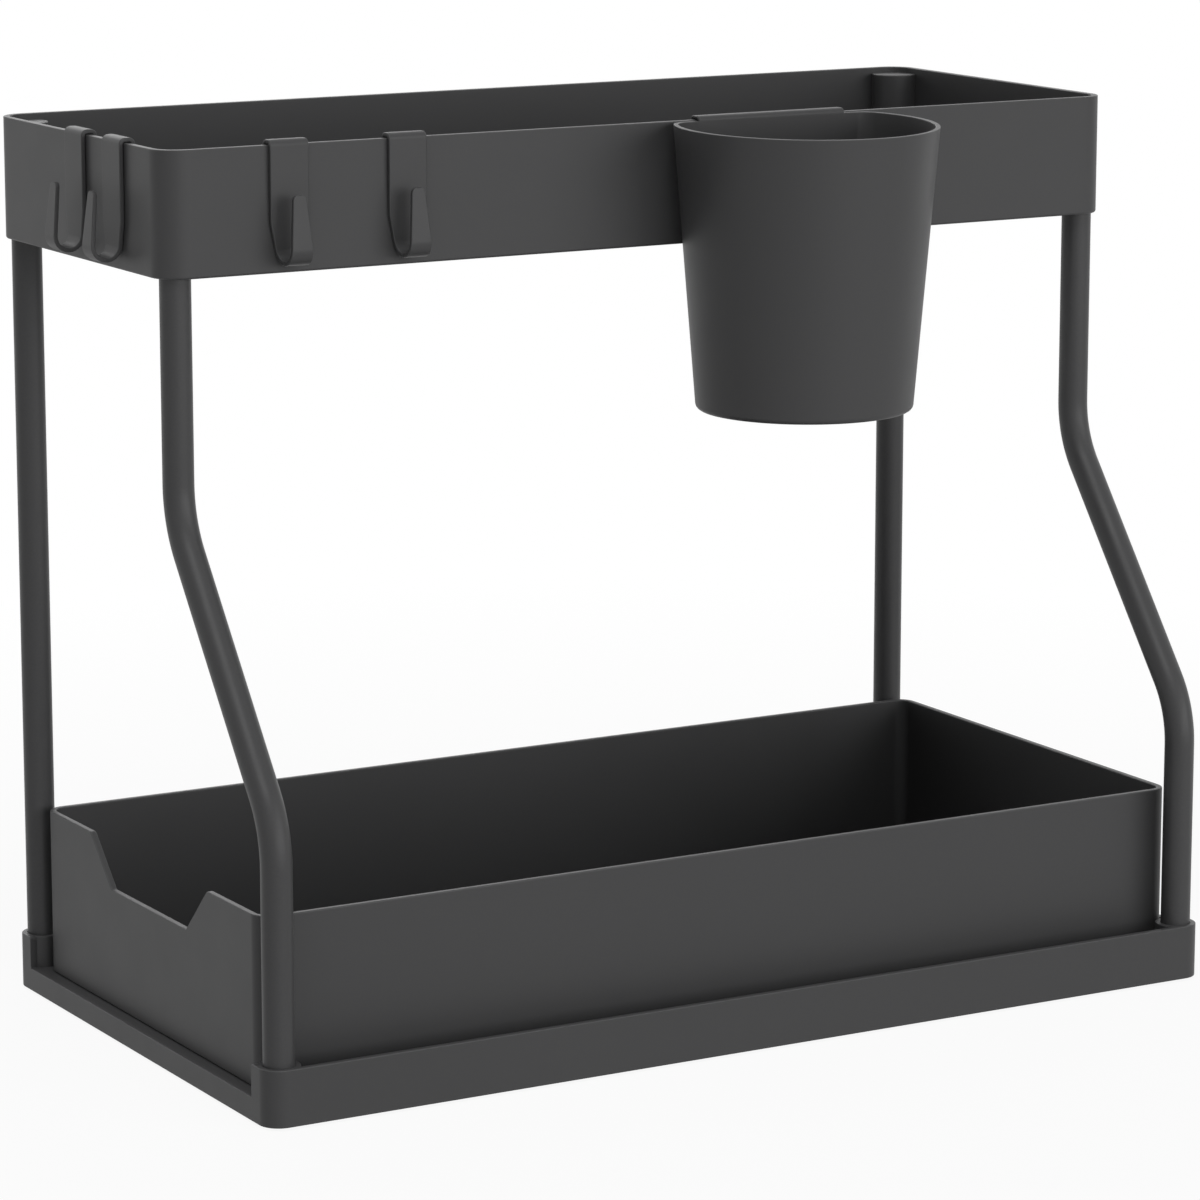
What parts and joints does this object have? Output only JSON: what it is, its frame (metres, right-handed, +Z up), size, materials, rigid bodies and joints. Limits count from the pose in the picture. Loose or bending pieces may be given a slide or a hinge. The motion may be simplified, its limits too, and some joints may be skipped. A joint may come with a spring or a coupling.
{
  "type": "under sink organizer",
  "caption": "Open under-sink organizer: low base with a pull-out drawer, set-back upper tray on round posts, hang-over hooks and a tapered hanging cup.",
  "frame": {"origin": "on the floor, under the middle of the base", "axes": "+X along the length, away from the end that the drawer pulls out of; -Y to the open front; +Z up"},
  "size_m": [0.4128, 0.2212, 0.3359],
  "materials": {
    "moulded_plastic": "fine satin grain",
    "hook_plastic": "fine satin grain",
    "cup_plastic": "fine satin grain",
    "coated_tube": "matte powder coat",
    "plug_plastic": "plain moulded",
    "screw_steel": "zinc plated",
    "foot_rubber": "matte"
  },
  "bodies": {
    "frame": {"base_tray": "moulded_plastic", "upper_tray": "moulded_plastic", "rear_left_post": "coated_tube", "rear_left_post_cap": "plug_plastic", "rear_left_post_insert": "plug_plastic", "rear_left_base_screw": "screw_steel", "rear_right_post": "coated_tube", "rear_right_post_cap": "plug_plastic", "rear_right_post_insert": "plug_plastic", "rear_right_base_screw": "screw_steel", "front_left_post": "coated_tube", "front_left_post_cap": "plug_plastic", "front_left_post_insert": "plug_plastic", "front_left_base_screw": "screw_steel", "front_right_post": "coated_tube", "front_right_post_cap": "plug_plastic", "front_right_post_insert": "plug_plastic", "front_right_base_screw": "screw_steel", "middle_foot_pad": "foot_rubber", "rear_left_foot_pad": "foot_rubber", "rear_right_foot_pad": "foot_rubber", "front_left_foot_pad": "foot_rubber", "front_right_foot_pad": "foot_rubber"},
    "drawer": {"drawer": "moulded_plastic"},
    "cup": {"hanging_cup": "cup_plastic"},
    "front_hook_left": {"front_hook_left": "hook_plastic"},
    "front_hook_right": {"front_hook_right": "hook_plastic"},
    "side_hook_front": {"side_hook_front": "hook_plastic"},
    "side_hook_rear": {"side_hook_rear": "hook_plastic"}
  },
  "joints": [
    {"name": "drawer_slide", "type": "slide", "parent": "frame", "child": "drawer", "axis": [-1, 0, 0], "range_m": [0, 0.3]},
    {"name": "cup_lift", "type": "slide", "parent": "frame", "child": "cup", "axis": [0, 0, 1], "range_m": [0, 0.12]},
    {"name": "front_hook_left_lift", "type": "slide", "parent": "frame", "child": "front_hook_left", "axis": [0, 0, 1], "range_m": [0, 0.06]},
    {"name": "front_hook_right_lift", "type": "slide", "parent": "frame", "child": "front_hook_right", "axis": [0, 0, 1], "range_m": [0, 0.06]},
    {"name": "side_hook_front_lift", "type": "slide", "parent": "frame", "child": "side_hook_front", "axis": [0, 0, 1], "range_m": [0, 0.06]},
    {"name": "side_hook_rear_lift", "type": "slide", "parent": "frame", "child": "side_hook_rear", "axis": [0, 0, 1], "range_m": [0, 0.06]}
  ]
}
